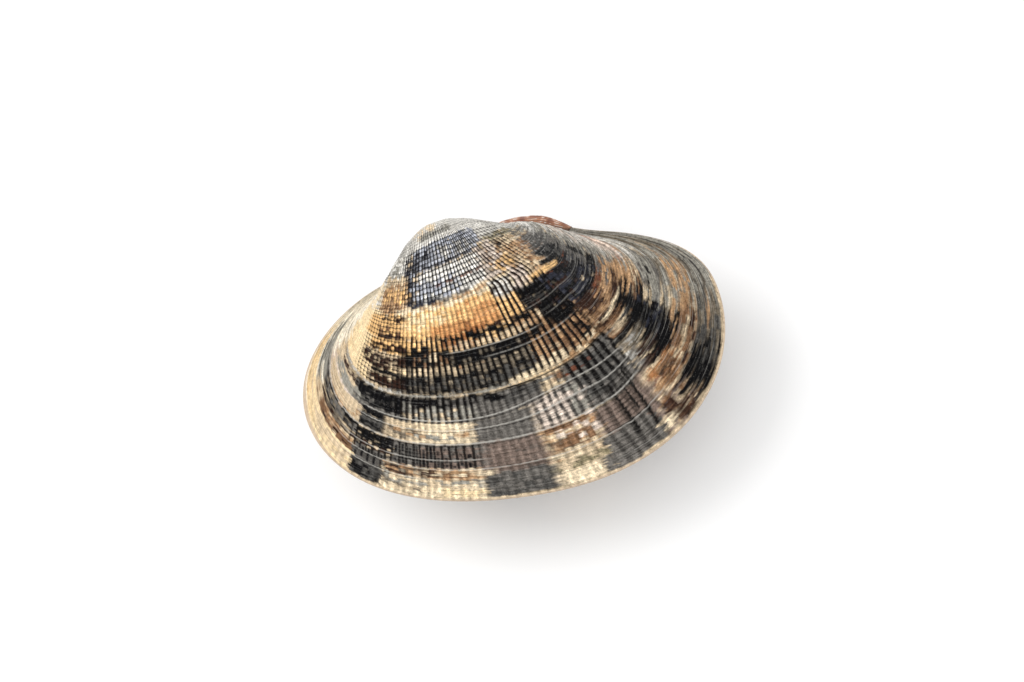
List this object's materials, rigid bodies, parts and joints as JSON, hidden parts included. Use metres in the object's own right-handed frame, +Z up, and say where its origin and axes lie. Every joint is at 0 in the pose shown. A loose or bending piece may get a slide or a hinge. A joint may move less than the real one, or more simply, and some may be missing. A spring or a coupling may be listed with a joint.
{
  "type": "carpet-shell clam",
  "caption": "Closed ribbed clam shell lying on its right valve, two domed valves with concentric growth ledges and a ligament behind the beaks.",
  "frame": {"origin": "centre of the bottom face of the bounding box, on the surface that the shell lies on", "axes": "+X along the shell's length towards its back end, +Y towards the beaks and the hinge, +Z up out of the left valve"},
  "size_m": [0.0422, 0.0284, 0.0201],
  "materials": {
    "shell": "satin shell, cream, tan and slate with black patches",
    "ligament": "horny, semi-matte, reddish brown"
  },
  "bodies": {
    "root": {"left_valve": "shell", "right_valve": "shell", "ligament": "ligament"}
  },
  "joints": []
}
